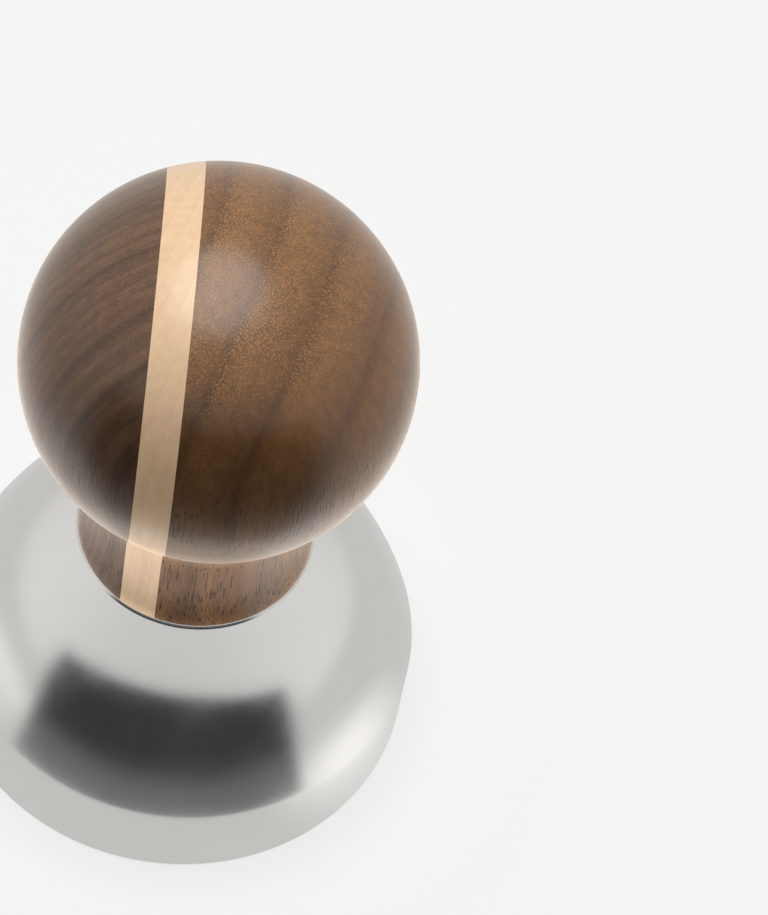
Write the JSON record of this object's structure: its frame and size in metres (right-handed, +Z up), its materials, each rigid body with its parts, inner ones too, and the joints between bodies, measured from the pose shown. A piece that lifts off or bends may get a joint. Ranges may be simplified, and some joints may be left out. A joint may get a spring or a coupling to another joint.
{
  "type": "espresso tamper",
  "caption": "Hand tamper for ground coffee: a domed steel piston with a flat face, and a ball handle of laminated dark and pale wood that unscrews from it.",
  "frame": {"origin": "centre of the flat tamping face, which is the lowest point of the tamper", "axes": "+Z up along the axis that the piston and the handle are turned on; the edge of the maple board is seen best from -Y"},
  "size_m": [0.058, 0.058, 0.0914],
  "materials": {
    "steel": "stainless steel, fine turned and polished to a satin shine",
    "walnut": "black walnut with its grain along Z, oiled and satin lacquered",
    "walnut_dark": "darker, closely striped black walnut, oiled and satin lacquered",
    "maple": "hard maple with its grain along Z, satin lacquered",
    "brass": "machined",
    "stud_steel": "zinc plated, rolled thread",
    "washer_rubber": "smooth black nitrile"
  },
  "bodies": {
    "base": {"steel_base": "steel", "joining_stud": "stud_steel"},
    "washer": {"joint_washer": "washer_rubber"},
    "handle": {"handle_walnut_main": "walnut", "handle_maple_stripe": "maple", "handle_walnut_side": "walnut_dark", "threaded_insert": "brass"}
  },
  "joints": [
    {"name": "handle_turn", "type": "hinge", "parent": "base", "child": "washer", "pos_m": [0, 0, 0.0329], "axis": [0, 0, 1], "range_deg": [0, 2880]},
    {"name": "handle_lift", "type": "slide", "parent": "washer", "child": "handle", "axis": [0, 0, 1], "range_m": [0, 0.01201]}
  ],
  "couplings": [
    {"joint": "handle_lift", "follows": "handle_turn", "m_per_rad": 0.00023873}
  ]
}
